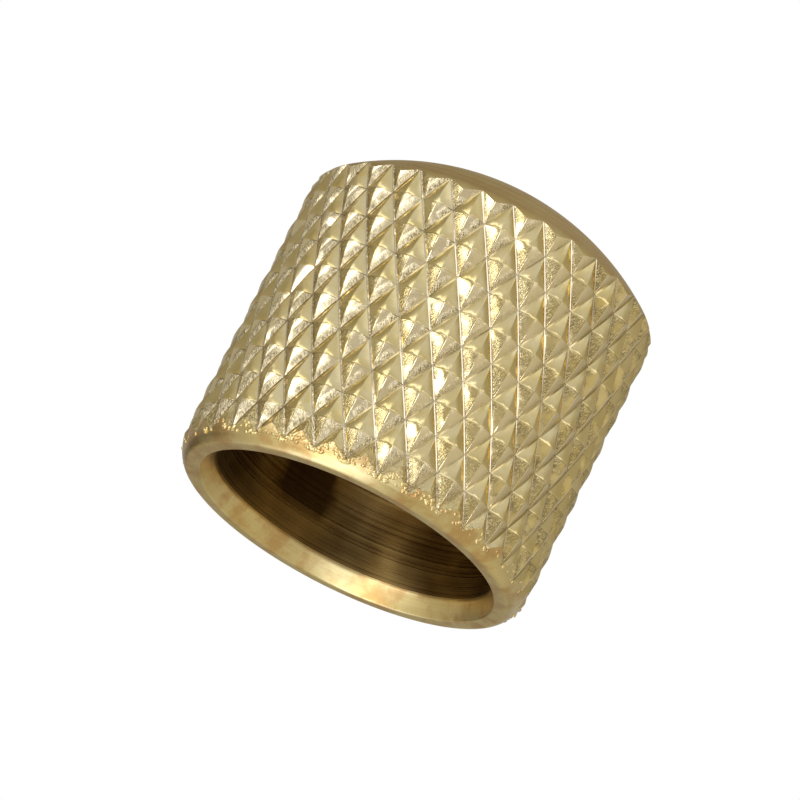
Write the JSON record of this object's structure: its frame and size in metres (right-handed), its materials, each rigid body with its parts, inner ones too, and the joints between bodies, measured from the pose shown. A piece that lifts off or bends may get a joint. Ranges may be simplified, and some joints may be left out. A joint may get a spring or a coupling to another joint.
{
  "type": "control knob",
  "caption": "Knurled metal dome-top control knob with a wide mouth recess, a blind round shaft bore and a radial set screw.",
  "frame": {"origin": "centre of the rim's circle, on the plane of the flat rim face at the mouth", "axes": "+Z along the knob's axis from the mouth to the dome; +Y towards the set screw"},
  "size_m": [0.018, 0.018, 0.0186],
  "materials": {
    "gold_brass": "bright gold finish over turned and knurled brass",
    "screw_steel": "black oxide"
  },
  "bodies": {
    "knob": {"knob_body": "gold_brass"},
    "screw": {"set_screw": "screw_steel"}
  },
  "joints": [
    {"name": "screw_travel", "type": "slide", "parent": "knob", "child": "screw", "axis": [0, -1, 0], "range_m": [-0.001, 0.0015]}
  ]
}
